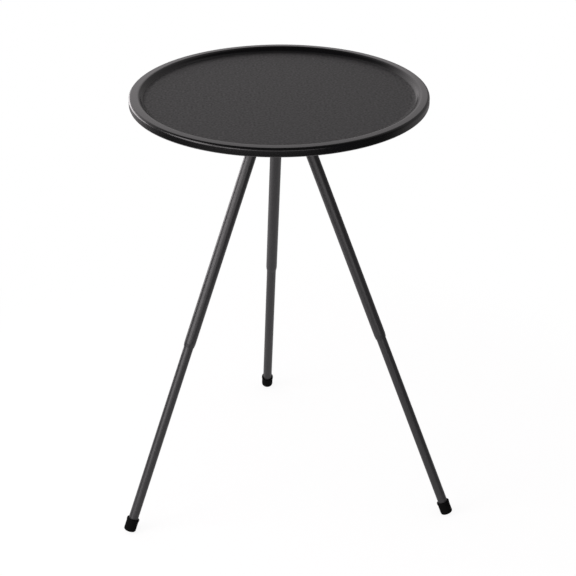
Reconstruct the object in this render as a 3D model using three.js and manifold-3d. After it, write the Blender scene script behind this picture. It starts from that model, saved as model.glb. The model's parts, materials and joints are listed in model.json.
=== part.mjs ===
// A round camping side table. A tray of stamped aluminium stands on three telescopic legs, which
// screw into a hub under it. Millimetres, +Z up. The origin is on the floor, under the middle of
// the rectangle that the table takes up when seen from above.
import * as THREE from "three";
import { mergeVertices } from "three/addons/utils/BufferGeometryUtils.js";
import Module from "manifold-3d";

// Tray
const rim_radius = 201.5;
const tray_sheet = 1.2;
const rim_width = 12.9;
const rim_fall = 0.9;
const wall_run = 6.4;
const tray_depth = 7;
const wall_foot_bend = 2.4;
const wall_top_bend = 2.4;
const rim_bend = 1.8;
const skirt_height = 12;
const curl_bend = 1.9;
const curl_turn = (4 / 3) * Math.PI;

// Stance: the leg axes meet on the table's axis, above the rim
const leg_tilt = THREE.MathUtils.degToRad(22.5);
const axes_meet_above_rim = 33.5;
const leg_azimuths = {
  left: THREE.MathUtils.degToRad(210),
  right: THREE.MathUtils.degToRad(330),
  back: THREE.MathUtils.degToRad(90),
};
const half_leg_spacing = Math.PI / 3;

// Hub under the tray
const flange_margin = 1.1;
const flange_thickness = 4;
const hub_core_radius = 27;
const hub_core_taper = 4;
const hub_core_depth = 9.4;
const boss_wall = 3.7;
const boss_drop = 10.2;
const boss_cover = 1;
const boss_chamfer = 1;
const insert_wall = 1.7;
const insert_length = 14;

// Fasteners that hold the hub
const spanner_room = 1.1;
const weld_stud_radius = 2.5;
const weld_stud_past_nut = 2.2;
const weld_base_width = 0.9;
const weld_base_height = 0.9;
const nut_across_flats = 8;
const nut_height = 5;
const nut_flange_radius = 5.9;
const nut_flange_height = 1.2;

// Top of each leg
const leg_stud_radius = 4;
const leg_stud_below_insert_end = 2;
const leg_stud_in_plug = 18;
const leg_stud_chamfer = 0.7;
const washer_inset = 0.1;
const washer_thickness = 1.5;
const shoulder_overhang = 0.6;
const shoulder_height = 5;
const shoulder_chamfer = 0.8;
const spigot_length = 22;

// Tubes
const upper_tube_radius = 8;
const upper_tube_wall = 0.8;
const upper_tube_length = 326;
const neck_taper = 5.5;
const neck_land = 2;
const neck_wall = 0.5;
const lower_tube_wall = 0.8;
const lower_tube_inside = 48;
const lower_tube_showing = 265;

// Twist lock inside the tubes
const tube_plug_head = 3;
const tube_plug_shank = 16;
const lock_rod_radius = 3;
const lock_rod_in_plug = 13;
const lock_rod_past_wedge = 2;
const lock_sleeve_length = 24;
const lock_cone_depth = 16;
const lock_sleeve_rim = 1.15;
const lock_cone_step = 0.2;
const lock_wedge_above_sleeve = 3;
const lock_wedge_in_sleeve = 11;
const lock_slot_width = 1.2;
const lock_slot_depth = 18;
const lock_slot_turns = [0, Math.PI / 2];

// Rubber foot
const foot_wall = 1.5;
const foot_lip_width = 0.4;
const foot_lip_height = 3;
const foot_length = 19.1;
const foot_grip = 15;
const sole_edge = 2.5;
const sole_flat = 0.5;

// Clearances, the overrun of every cut, and how finely round shapes are faceted
const seat_gap = 0.3;
const slide_gap = 0.15;
const telescope_gap = 0.4;
const cut_overrun = 1;
const tray_facets = 60;
const tube_facets = 24;
const small_facets = 16;
const hexagon_sides = 6;
const bend_steps = 2;
const edge_steps = 3;
const curl_steps = 5;

// Radii that follow from others
const upper_tube_bore = upper_tube_radius - upper_tube_wall;
const lower_tube_radius = upper_tube_bore - telescope_gap;
const lower_tube_bore = lower_tube_radius - lower_tube_wall;
const neck_bore = lower_tube_radius + slide_gap;
const foot_pocket_radius = lower_tube_radius + seat_gap;
const foot_radius = foot_pocket_radius + foot_wall;
const shoulder_radius = upper_tube_radius + shoulder_overhang;
const washer_radius = shoulder_radius - washer_inset;
const leg_stud_bore = leg_stud_radius + seat_gap;
const insert_radius = leg_stud_bore + insert_wall;
const socket_bore = insert_radius + seat_gap;
const boss_radius = socket_bore + boss_wall;
const weld_stud_bore = weld_stud_radius + seat_gap;
const fixing_circle_radius = hub_core_radius + spanner_room + nut_flange_radius;
const flange_radius = fixing_circle_radius + nut_flange_radius + flange_margin;
const lock_sleeve_radius = upper_tube_bore - slide_gap;
const lock_rod_bore = lock_rod_radius + seat_gap;
const lock_cone_wide_radius = lock_sleeve_radius - lock_sleeve_rim;
const lock_cone_narrow_radius = lock_rod_bore + lock_cone_step;

// Heights from the top of the rim
const tray_underside = -tray_depth - tray_sheet;
const hub_top = tray_underside - seat_gap;
const flange_bottom = hub_top - flange_thickness;
const hub_core_bottom = flange_bottom - hub_core_depth;
const nut_top = flange_bottom - seat_gap;
const weld_stud_bottom = nut_top - nut_height - weld_stud_past_nut;

// Distances down a leg from where the axes meet. A boss starts just under the hub's top and
// ends below its core.
const boss_root =
  (axes_meet_above_rim - hub_top + boss_cover + boss_radius * Math.sin(leg_tilt)) /
  Math.cos(leg_tilt);
const boss_mouth = (axes_meet_above_rim - hub_core_bottom + boss_drop) / Math.cos(leg_tilt);
const washer_top = boss_mouth + seat_gap;
const shoulder_top = washer_top + washer_thickness + seat_gap;
const shoulder_bottom = shoulder_top + shoulder_height;
const upper_tube_top = shoulder_bottom + seat_gap;
const upper_tube_end = upper_tube_top + upper_tube_length;
const lower_tube_top = upper_tube_end - lower_tube_inside;
const foot_mouth = upper_tube_end + lower_tube_showing;
const foot_tip = foot_mouth + foot_length;
const tube_plug_bottom = lower_tube_top - seat_gap;
const tube_plug_top = tube_plug_bottom - tube_plug_head;
const lock_sleeve_bottom = tube_plug_top - seat_gap;
const lock_sleeve_top = lock_sleeve_bottom - lock_sleeve_length;
const lock_wedge_top = lock_sleeve_top - lock_wedge_above_sleeve;

// How far the floor lies below the point where the axes meet: the heel of the tilted sole is
// its lowest point, and it is pressed flat.
const floor_drop =
  (foot_tip - sole_edge) * Math.cos(leg_tilt) +
  (foot_radius - sole_edge) * Math.sin(leg_tilt) +
  sole_edge -
  sole_flat;

const wasm = await Module();
wasm.setup();

// Finishes

function blackPowderCoat() {
  return new THREE.MeshStandardMaterial({ color: 0x353435, roughness: 0.5, metalness: 0.1 });
}

function blackRubber() {
  return new THREE.MeshStandardMaterial({ color: 0x0b0b0b, roughness: 0.75, metalness: 0 });
}

function blackNylon() {
  return new THREE.MeshStandardMaterial({ color: 0x1c1c1d, roughness: 0.6, metalness: 0 });
}

function paleAcetal() {
  return new THREE.MeshStandardMaterial({ color: 0xd8d6cf, roughness: 0.5, metalness: 0 });
}

function turnedAluminium() {
  return new THREE.MeshStandardMaterial({ color: 0xb9bbbd, roughness: 0.35, metalness: 1 });
}

function zincSteel() {
  return new THREE.MeshStandardMaterial({ color: 0xa8aaac, roughness: 0.4, metalness: 1 });
}

function brass() {
  return new THREE.MeshStandardMaterial({ color: 0xc9a54f, roughness: 0.35, metalness: 1 });
}

// Geometry helpers

function point(radius, height) {
  return new THREE.Vector2(radius, height);
}

// A shape turned about Z. The outline runs up the outside and down the inside.
function turned(outline, facets) {
  const points = outline.map(([radius, height]) => point(radius, height));
  return new THREE.LatheGeometry(points, facets).rotateX(Math.PI / 2);
}

// The same for a ring, whose outline closes on itself.
function turnedRing(outline, facets) {
  return turned([...outline, outline[0]], facets);
}

function arc(centre, radius, from, to, steps) {
  return Array.from({ length: steps + 1 }, (_, i) => {
    const angle = from + ((to - from) * i) / steps;
    return centre.clone().add(point(radius * Math.cos(angle), radius * Math.sin(angle)));
  });
}

// The arc that rounds the corner between the points before and after it.
function bendAt(before, corner, after, bend, steps) {
  const back = before.clone().sub(corner).normalize();
  const ahead = after.clone().sub(corner).normalize();
  const half_angle = Math.acos(back.dot(ahead)) / 2;
  const reach = bend / Math.sin(half_angle);
  const setback = bend / Math.tan(half_angle);
  const centre = back.clone().add(ahead).normalize().multiplyScalar(reach).add(corner);
  const from = back.multiplyScalar(setback).add(corner).sub(centre).angle();
  const to = ahead.multiplyScalar(setback).add(corner).sub(centre).angle();
  const turn = THREE.MathUtils.euclideanModulo(to - from + Math.PI, 2 * Math.PI) - Math.PI;
  return arc(centre, bend, from, from + turn, steps);
}

// The outline of a sheet that follows a line, with half its thickness on each side.
function sheetOutline(line, sheet) {
  const offsets = line.map((place, i) => {
    const came = place.clone().sub(line[Math.max(i - 1, 0)]).normalize();
    const goes = line[Math.min(i + 1, line.length - 1)].clone().sub(place).normalize();
    const along = came.clone().add(goes).normalize();
    const side = i === 0 ? goes : came;
    return point(-along.y, along.x).multiplyScalar(sheet / 2 / along.dot(side));
  });
  const under = line.map((place, i) => place.clone().sub(offsets[i]));
  const over = line.map((place, i) => place.clone().add(offsets[i])).reverse();
  return [...under, ...over].map((place) => [place.x, place.y]);
}

function toSolid(geometry) {
  const bare = geometry.clone();
  bare.deleteAttribute("normal");
  bare.deleteAttribute("uv");
  const merged = mergeVertices(bare);
  return new wasm.Manifold(
    new wasm.Mesh({
      numProp: 3,
      vertProperties: merged.attributes.position.array,
      triVerts: new Uint32Array(merged.index.array),
    }),
  );
}

function toGeometry(solid) {
  const { vertProperties, triVerts } = solid.getMesh();
  const geometry = new THREE.BufferGeometry();
  geometry.setAttribute("position", new THREE.BufferAttribute(vertProperties, 3));
  geometry.setIndex(new THREE.BufferAttribute(triVerts, 1));
  geometry.computeVertexNormals();
  return geometry;
}

function joined(first, ...rest) {
  return rest.reduce((solid, geometry) => solid.add(toSolid(geometry)), toSolid(first));
}

function without(solid, cutters) {
  return cutters.reduce((left, cutter) => left.subtract(toSolid(cutter)), solid);
}

function named(name, geometry, material) {
  const mesh = new THREE.Mesh(geometry, material);
  mesh.name = name;
  return mesh;
}

// A plain round bar between two heights.
function bar(radius, bottom, top, facets) {
  return turned([[0, bottom], [radius, bottom], [radius, top], [0, top]], facets);
}

// A round bar with both ends chamfered.
function chamferedBar(radius, bottom, top, chamfer, facets) {
  const tip = radius - chamfer;
  const outline = [
    [0, bottom],
    [tip, bottom],
    [radius, bottom + chamfer],
    [radius, top - chamfer],
    [tip, top],
    [0, top],
  ];
  return turned(outline, facets);
}

// A plain ring between two heights.
function ring(radius, bore, bottom, top, facets) {
  return turnedRing([[radius, bottom], [radius, top], [bore, top], [bore, bottom]], facets);
}

// A leg's own frame: its axis points up the leg, from where the three axes meet.
function legFrame(azimuth) {
  const frame = new THREE.Matrix4().makeRotationZ(azimuth);
  frame.multiply(new THREE.Matrix4().makeRotationY(-leg_tilt));
  return frame.setPosition(0, 0, axes_meet_above_rim);
}

// Tray: floor, sloped wall, rim that falls a little outwards, skirt, and an edge curled inwards.
function trayGeometry() {
  const skirt = rim_radius - tray_sheet / 2;
  const rim_inner = rim_radius - rim_width;
  const middle = point(0, -tray_depth - tray_sheet / 2);
  const wall_foot = point(rim_inner - wall_run, middle.y);
  const wall_top = point(rim_inner, -tray_sheet / 2);
  const rim_edge = point(skirt, wall_top.y - rim_fall);
  const curl_height = -rim_fall - skirt_height + tray_sheet / 2 + curl_bend;
  const curl_start = point(skirt, curl_height);
  const curl_centre = point(skirt - curl_bend, curl_height);
  const line = [
    middle,
    ...bendAt(middle, wall_foot, wall_top, wall_foot_bend, bend_steps),
    ...bendAt(wall_foot, wall_top, rim_edge, wall_top_bend, bend_steps),
    ...bendAt(wall_top, rim_edge, curl_start, rim_bend, edge_steps),
    ...arc(curl_centre, curl_bend, 0, -curl_turn, curl_steps),
  ];
  return turned(sheetOutline(line, tray_sheet), tray_facets);
}

// Hub: a flange under the tray and a tapered core, with a slanted boss for each leg.
function hubGeometry() {
  const body = turned(
    [
      [0, hub_core_bottom],
      [hub_core_radius - hub_core_taper, hub_core_bottom],
      [hub_core_radius, flange_bottom],
      [flange_radius, flange_bottom],
      [flange_radius, hub_top],
      [0, hub_top],
    ],
    tube_facets,
  );
  const frames = Object.values(leg_azimuths).map(legFrame);
  const bosses = frames.map((frame) => bossGeometry().applyMatrix4(frame));
  const socket_end = -boss_mouth + insert_length + seat_gap;
  const sockets = frames.map((frame) =>
    bar(socket_bore, -boss_mouth - cut_overrun, socket_end, small_facets).applyMatrix4(frame),
  );
  const fixings = fixingAzimuths().map((azimuth) => fixingHole().applyMatrix4(onCircle(azimuth)));
  return toGeometry(without(joined(body, ...bosses), [...sockets, ...fixings]));
}

function bossGeometry() {
  const outline = [
    [0, -boss_mouth],
    [boss_radius - boss_chamfer, -boss_mouth],
    [boss_radius, -boss_mouth + boss_chamfer],
    [boss_radius, -boss_root],
    [0, -boss_root],
  ];
  return turned(outline, small_facets);
}

// The stepped hole that a weld stud and its wider base pass through.
function fixingHole() {
  const base_bore = weld_stud_bore + weld_base_width;
  const base_bottom = hub_top - weld_base_height - seat_gap;
  const outline = [
    [0, flange_bottom - cut_overrun],
    [weld_stud_bore, flange_bottom - cut_overrun],
    [weld_stud_bore, base_bottom],
    [base_bore, base_bottom],
    [base_bore, hub_top + cut_overrun],
    [0, hub_top + cut_overrun],
  ];
  return turned(outline, small_facets);
}

// The fixings stand midway between the legs.
function fixingAzimuths() {
  return Object.values(leg_azimuths).map((azimuth) => azimuth + half_leg_spacing);
}

function onCircle(azimuth) {
  const x = fixing_circle_radius * Math.cos(azimuth);
  const y = fixing_circle_radius * Math.sin(azimuth);
  return new THREE.Matrix4().makeTranslation(x, y, 0);
}

function weldStudGeometry() {
  const base_radius = weld_stud_radius + weld_base_width;
  const base_bottom = hub_top - weld_base_height;
  const outline = [
    [0, weld_stud_bottom],
    [weld_stud_radius, weld_stud_bottom],
    [weld_stud_radius, base_bottom],
    [base_radius, base_bottom],
    [base_radius, hub_top],
    [0, hub_top],
  ];
  return turned(outline, small_facets);
}

function flangeNutGeometry() {
  const hexagon_radius = nut_across_flats / 2 / Math.cos(Math.PI / hexagon_sides);
  const hexagon = bar(hexagon_radius, nut_top - nut_height, nut_top, hexagon_sides);
  const flange = bar(nut_flange_radius, nut_top - nut_flange_height, nut_top, small_facets);
  const hole = bar(
    weld_stud_bore,
    nut_top - nut_height - cut_overrun,
    nut_top + cut_overrun,
    small_facets,
  );
  return toGeometry(without(joined(hexagon, flange), [hole]));
}

function socketInsertGeometry() {
  return ring(
    insert_radius,
    leg_stud_bore,
    -boss_mouth,
    -boss_mouth + insert_length,
    small_facets,
  );
}

function legStudGeometry() {
  const bottom = -shoulder_top - leg_stud_in_plug;
  const top = -boss_mouth + insert_length - leg_stud_below_insert_end;
  return chamferedBar(leg_stud_radius, bottom, top, leg_stud_chamfer, small_facets);
}

function washerGeometry() {
  return ring(
    washer_radius,
    leg_stud_bore,
    -washer_top - washer_thickness,
    -washer_top,
    small_facets,
  );
}

// Top plug: a shoulder on the tube's end and a spigot in its bore, with the stud's hole.
function topPlugGeometry() {
  const spigot_radius = upper_tube_bore - seat_gap;
  const hole_bottom = -shoulder_top - leg_stud_in_plug - seat_gap;
  const outline = [
    [0, -shoulder_bottom - spigot_length],
    [spigot_radius, -shoulder_bottom - spigot_length],
    [spigot_radius, -shoulder_bottom],
    [shoulder_radius - shoulder_chamfer, -shoulder_bottom],
    [shoulder_radius, -shoulder_bottom + shoulder_chamfer],
    [shoulder_radius, -shoulder_top - shoulder_chamfer],
    [shoulder_radius - shoulder_chamfer, -shoulder_top],
    [leg_stud_bore, -shoulder_top],
    [leg_stud_bore, hole_bottom],
    [0, hole_bottom],
  ];
  return turned(outline, tube_facets);
}

// Upper tube, with its lower end drawn in to guide the lower tube.
function upperTubeGeometry() {
  const outline = [
    [neck_bore + neck_wall, -upper_tube_end],
    [upper_tube_radius, -upper_tube_end + neck_taper],
    [upper_tube_radius, -upper_tube_top],
    [upper_tube_bore, -upper_tube_top],
    [upper_tube_bore, -upper_tube_end + neck_taper],
    [neck_bore, -upper_tube_end + neck_land],
    [neck_bore, -upper_tube_end],
  ];
  return turnedRing(outline, tube_facets);
}

function lowerTubeGeometry() {
  return ring(
    lower_tube_radius,
    lower_tube_bore,
    -foot_mouth - foot_grip,
    -lower_tube_top,
    tube_facets,
  );
}

// Tube plug: a head on the lower tube's end and a shank inside it, with the lock rod's hole.
function tubePlugGeometry() {
  const shank_radius = lower_tube_bore - seat_gap;
  const hole_bottom = -tube_plug_top - lock_rod_in_plug - seat_gap;
  const outline = [
    [0, -tube_plug_bottom - tube_plug_shank],
    [shank_radius, -tube_plug_bottom - tube_plug_shank],
    [shank_radius, -tube_plug_bottom],
    [lower_tube_radius, -tube_plug_bottom],
    [lower_tube_radius, -tube_plug_top],
    [lock_rod_bore, -tube_plug_top],
    [lock_rod_bore, hole_bottom],
    [0, hole_bottom],
  ];
  return turned(outline, small_facets);
}

function lockRodGeometry() {
  return bar(
    lock_rod_radius,
    -tube_plug_top - lock_rod_in_plug,
    -lock_wedge_top + lock_rod_past_wedge,
    small_facets,
  );
}

// The radius of the sleeve's inner cone, so far down from the sleeve's top.
function lockConeRadius(depth) {
  const slope = (lock_cone_wide_radius - lock_cone_narrow_radius) / lock_cone_depth;
  return lock_cone_wide_radius - slope * depth;
}

// Expander sleeve: split crosswise from its top, so that the wedge can spread it.
function lockSleeveGeometry() {
  const outline = [
    [lock_sleeve_radius, -lock_sleeve_bottom],
    [lock_sleeve_radius, -lock_sleeve_top],
    [lock_cone_wide_radius, -lock_sleeve_top],
    [lock_cone_narrow_radius, -lock_sleeve_top - lock_cone_depth],
    [lock_rod_bore, -lock_sleeve_top - lock_cone_depth],
    [lock_rod_bore, -lock_sleeve_bottom],
  ];
  const slot_length = lock_slot_depth + cut_overrun;
  const slot_reach = 2 * (lock_sleeve_radius + cut_overrun);
  const slots = lock_slot_turns.map((turn) =>
    new THREE.BoxGeometry(slot_reach, lock_slot_width, slot_length)
      .rotateZ(turn)
      .translate(0, 0, -lock_sleeve_top + cut_overrun - slot_length / 2),
  );
  return toGeometry(without(toSolid(turnedRing(outline, tube_facets)), slots));
}

// Wedge nut: a cone that runs on the lock rod and sits in the sleeve's cone.
function lockWedgeGeometry() {
  const wide = lockConeRadius(-lock_wedge_above_sleeve) - seat_gap;
  const narrow = lockConeRadius(lock_wedge_in_sleeve) - seat_gap;
  const bottom = -lock_sleeve_top - lock_wedge_in_sleeve;
  const outline = [
    [narrow, bottom],
    [wide, -lock_wedge_top],
    [lock_rod_bore, -lock_wedge_top],
    [lock_rod_bore, bottom],
  ];
  return turnedRing(outline, small_facets);
}

// Rubber foot: a cap on the lower tube with a lip at its mouth, pressed flat on the floor.
function footGeometry() {
  const lip_radius = foot_radius + foot_lip_width;
  const pocket_bottom = -foot_mouth - foot_grip - seat_gap;
  const edge_centre = point(foot_radius - sole_edge, -foot_tip + sole_edge);
  const edge = arc(edge_centre, sole_edge, -Math.PI / 2, 0, edge_steps);
  const outline = [
    [0, -foot_tip],
    ...edge.map((place) => [place.x, place.y]),
    [foot_radius, -foot_mouth - foot_lip_height - foot_lip_width],
    [lip_radius, -foot_mouth - foot_lip_height],
    [lip_radius, -foot_mouth - foot_lip_width],
    [foot_radius, -foot_mouth],
    [foot_pocket_radius, -foot_mouth],
    [foot_pocket_radius, pocket_bottom],
    [0, pocket_bottom],
  ];
  const floor_block_size = 4 * foot_length;
  const floor_block = new THREE.BoxGeometry(floor_block_size, floor_block_size, floor_block_size)
    .translate(foot_tip * Math.sin(leg_tilt), 0, -floor_drop - floor_block_size / 2)
    .rotateY(leg_tilt);
  return toGeometry(without(toSolid(turned(outline, tube_facets)), [floor_block]));
}

// Assembly

// Shapes that the three legs share, in the order in which they come off the hub.
const leg_pieces = {
  socket_insert: [socketInsertGeometry(), brass()],
  washer: [washerGeometry(), paleAcetal()],
  leg_stud: [legStudGeometry(), zincSteel()],
  top_plug: [topPlugGeometry(), turnedAluminium()],
  upper_tube: [upperTubeGeometry(), blackPowderCoat()],
  lock_wedge: [lockWedgeGeometry(), blackNylon()],
  lock_sleeve: [lockSleeveGeometry(), paleAcetal()],
  lock_rod: [lockRodGeometry(), zincSteel()],
  tube_plug: [tubePlugGeometry(), blackNylon()],
  lower_tube: [lowerTubeGeometry(), blackPowderCoat()],
  foot: [footGeometry(), blackRubber()],
};

function legGroup(name, azimuth) {
  const leg = new THREE.Group();
  leg.applyMatrix4(legFrame(azimuth));
  for (const [piece, [geometry, material]] of Object.entries(leg_pieces)) {
    leg.add(named(`${name}_${piece}`, geometry, material));
  }
  return leg;
}

function fixingGroup(number, azimuth) {
  const fixing = new THREE.Group();
  fixing.applyMatrix4(onCircle(azimuth));
  fixing.add(named(`weld_stud_${number}`, weldStudGeometry(), zincSteel()));
  fixing.add(named(`flange_nut_${number}`, flangeNutGeometry(), zincSteel()));
  return fixing;
}

const table = new THREE.Group();
table.add(named("tray", trayGeometry(), blackPowderCoat()));
table.add(named("hub", hubGeometry(), blackNylon()));
fixingAzimuths().forEach((azimuth, i) => table.add(fixingGroup(i + 1, azimuth)));
for (const [name, azimuth] of Object.entries(leg_azimuths)) {
  table.add(legGroup(name, azimuth));
}

// Stand the table on the floor, centred on the rectangle that it takes up.
const root = new THREE.Group();
root.add(table);
const bounds = new THREE.Box3().setFromObject(table, true);
const footprint = bounds.getCenter(new THREE.Vector3());
table.position.set(-footprint.x, -footprint.y, -bounds.min.z);

export default root;
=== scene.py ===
# The looks of a round camping side table, modelled over its fixed frame: a stamped tray on three
# telescopic legs, which screw into a moulded hub. Lengths are in metres unless a name says mm.
import json
import math
from contextlib import contextmanager

import bmesh
import bpy
from mathutils import Matrix, Vector


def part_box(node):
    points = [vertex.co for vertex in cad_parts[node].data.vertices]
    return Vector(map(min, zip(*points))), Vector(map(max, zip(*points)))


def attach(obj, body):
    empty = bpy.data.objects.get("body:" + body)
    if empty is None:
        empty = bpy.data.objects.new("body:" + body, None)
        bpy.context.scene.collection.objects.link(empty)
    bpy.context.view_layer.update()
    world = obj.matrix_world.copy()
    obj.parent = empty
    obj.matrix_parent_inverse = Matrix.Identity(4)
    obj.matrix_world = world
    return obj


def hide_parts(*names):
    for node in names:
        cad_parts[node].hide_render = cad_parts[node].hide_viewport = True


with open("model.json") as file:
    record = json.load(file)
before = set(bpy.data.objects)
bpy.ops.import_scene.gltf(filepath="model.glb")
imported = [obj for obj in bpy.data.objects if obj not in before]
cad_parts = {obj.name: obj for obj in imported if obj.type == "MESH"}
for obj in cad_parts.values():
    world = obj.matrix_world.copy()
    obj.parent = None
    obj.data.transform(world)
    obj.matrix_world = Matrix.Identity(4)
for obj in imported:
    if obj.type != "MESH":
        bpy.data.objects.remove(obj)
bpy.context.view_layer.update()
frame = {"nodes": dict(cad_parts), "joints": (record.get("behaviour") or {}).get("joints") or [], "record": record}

bl_info = {
    "name": "Camping Side Table",
    "version": (1, 0, 0),
    "blender": (4, 5, 0),
    "location": "View3D > Sidebar > Side Table",
    "description": "Models the pieces and finishes of a round side table on telescopic legs",
    "category": "Add Mesh",
}

MM = 0.001
TOUCH = 0.002 * MM
FULL_TURN = 2 * math.pi
SMOOTH_BELOW = math.radians(34)
SIDES = ("left", "right", "back")
OWN_PLACE = "own_place"

# A screw thread's section, as shares of its pitch.
THREAD_DEPTH = 0.61
THREAD_CREST = 0.125
THREAD_FLANK = 0.3125

# Small fixed sizes, which follow the fasteners and tubes and aren't worth changing alone.
FIXING_SHANK = 2.5 * MM
FIXING_FILLET = 0.2 * MM
FIXING_EDGE = 0.15 * MM
NUT_CHAMFER = 0.45 * MM
INSERT_GROOVE = 0.5 * MM
INSERT_GROOVE_EDGE = 0.1 * MM
WASHER_EDGE = 0.25 * MM
WASHER_BORE_EDGE = 0.1 * MM
PLUG_HOLE_EDGE = 0.2 * MM
NECK_BEND = 6 * MM

# The camera as solved from the photograph: its place, and yaw, pitch and roll in radians.
CAMERA_PLACE = (-0.1819, -2.16505, 1.3897)
CAMERA_TURN = (-0.0903, 0.4677, -0.0034)
SENSOR_WIDTH_MM = 36

FLOOR_RADIUS = 0.8
FLOOR_GAP = 0.02 * MM
LAMPS_LOOK_AT = (0, 0, 0.35)

# The soft lamps, as seen from the table: degrees to the right of the front, degrees above the
# horizon, metres away, and the width and height of the lamp's face.
LAMPS = {
    "key": (-75, 26, 2.4, 1.3, 1.1),
    "side": (-50, 11, 2.6, 1.9, 1.3),
    "edge": (-137, 2, 2.6, 2.1, 1.0),
    "front": (-12, 4, 2.6, 3.6, 1.0),
}

# The studio as a gloss shows it, in fades over the direction: an axis, where along it the fade is
# dark, where it is lit, and how bright it is there. X is right, Y behind the table and Z up.
FADES = {
    "behind": ("Y", 0.1, 0.85, 1),
    "front end": ("Y", -0.15, 0.35, 1),
    "left side": ("X", 0, -0.25, 1),
    "right end": ("X", 0.48, 0.12, 1),
    "top": ("Z", 0.75, 0.5, 1),
    "foot": ("Z", -0.1, 0.36, 1),
    "foot at the left": ("Z", -0.25, 0.1, 1),
    "floor beyond": ("Z", 0, -0.15, 0.15),
    "floor at the left": ("X", -0.1, -0.35, 0.45),
    "wall at the right": ("X", 0, 0.4, 0.3),
}


# Sizes and colours

def linear(hex_colour):
    """A colour written as sRGB hex, as the linear values that shaders take."""
    parts = [int(hex_colour[i:i + 2], 16) / 255 for i in (1, 3, 5)]
    return [p / 12.92 if p <= 0.04045 else ((p + 0.055) / 1.055) ** 2.4 for p in parts]


def length(name, description, millimetres):
    return bpy.props.FloatProperty(
        name=name, description=description, default=millimetres * MM, min=0, unit="LENGTH"
    )


def angle(name, description, degrees):
    return bpy.props.FloatProperty(
        name=name, description=description, default=math.radians(degrees),
        subtype="ANGLE", unit="ROTATION",
    )


def count(name, description, number):
    return bpy.props.IntProperty(name=name, description=description, default=number, min=3)


def colour(name, description, hex_colour):
    return bpy.props.FloatVectorProperty(
        name=name, description=description, default=linear(hex_colour),
        min=0, max=1, subtype="COLOR",
    )


def level(name, description, number):
    return bpy.props.FloatProperty(name=name, description=description, default=number, min=0)


class TraySizes(bpy.types.PropertyGroup):
    sheet: length("Sheet", "Thickness of the aluminium sheet", 1.2)
    rim_width: length("Rim width", "Width of the raised rim, seen from above", 12.9)
    rim_fall: length("Rim fall", "How far the rim falls towards its outer edge", 0.9)
    wall_run: length("Wall run", "Width of the sloped wall, seen from above", 6.4)
    depth: length("Depth", "Depth of the tray's floor below the rim", 7)
    foot_bend: length("Foot bend", "Bend at the foot of the sloped wall", 11)
    top_bend: length("Top bend", "Bend at the top of the sloped wall", 6)
    rim_bend: length("Rim bend", "Bend between the rim and the skirt", 3)
    skirt: length("Skirt", "Height of the skirt below the rim's edge", 12)
    curl: length("Curl", "Bend of the curled edge", 1.9)
    curl_turn: angle("Curl turn", "How far the edge curls round", 240)
    facets: count("Facets", "Facets round the tray", 360)
    bend_facets: count("Bend facets", "Facets across each bend", 6)
    curl_facets: count("Curl facets", "Facets round the curled edge", 14)


class HubSizes(bpy.types.PropertyGroup):
    flange: length("Flange", "Thickness of the flange under the tray", 4)
    core_radius: length("Core radius", "Radius of the core at the flange", 27)
    core_taper: length("Core taper", "How much the core narrows downwards", 4)
    core_depth: length("Core depth", "Height of the core below the flange", 9.4)
    boss_radius: length("Boss radius", "Radius of each slanted boss", 10)
    boss_length: length("Boss length", "Length of each slanted boss", 20.3)
    socket_gap: length("Socket gap", "Clearance round each threaded insert", 0.3)
    edge: length("Edge", "Rounding of the moulded edges", 0.9)
    fixing_circle: length("Fixing circle", "Radius of the circle that the fixings stand on", 34)
    rib: length("Rib", "Thickness of the ribs under the flange", 2.4)
    facets: count("Facets", "Facets round the hub", 96)


class FastenerSizes(bpy.types.PropertyGroup):
    leg_pitch: length("Leg pitch", "Thread pitch of the leg studs", 1.25)
    fixing_pitch: length("Fixing pitch", "Thread pitch of the weld studs", 0.8)
    rod_pitch: length("Rod pitch", "Thread pitch of the lock rods", 1)
    thread_gap: length("Thread gap", "Clearance of the inner threads", 0.12)
    weld_base: length("Weld base", "Height of a weld stud's base", 0.9)
    hexagon: length("Hexagon", "Width across the flats of a flange nut", 8)
    nut_flange: length("Nut flange", "Height of a nut's flange", 1.2)
    edge: length("Edge", "Chamfer of the turned edges", 0.4)
    facets: count("Facets", "Facets round a fastener", 32)


class TubeSizes(bpy.types.PropertyGroup):
    upper_wall: length("Upper wall", "Wall of the upper tubes", 0.8)
    neck: length("Neck", "Length of the drawn-in neck of the upper tubes", 5.5)
    neck_land: length("Neck land", "Length of the neck's guiding bore", 2)
    neck_wall: length("Neck wall", "Wall at the end of the neck", 0.5)
    slide_gap: length("Slide gap", "Clearance between the neck and the lower tube", 0.15)
    lower_wall: length("Lower wall", "Wall of the lower tubes", 0.8)
    edge: length("Edge", "Rounding of the tube ends", 0.2)
    facets: count("Facets", "Facets round a tube", 64)


class PlugSizes(bpy.types.PropertyGroup):
    shoulder: length("Shoulder", "Height of the top plug's shoulder", 5)
    spigot_radius: length("Spigot radius", "Radius of the top plug inside the tube", 6.9)
    hole_radius: length("Hole radius", "Radius of the hole for the leg stud", 4.3)
    hole_depth: length("Hole depth", "Depth of the hole for the leg stud", 18.3)
    edge: length("Edge", "Chamfer of the shoulder", 0.8)
    groove: length("Groove", "Depth of the grip grooves round the shoulder", 0.3)


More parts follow.
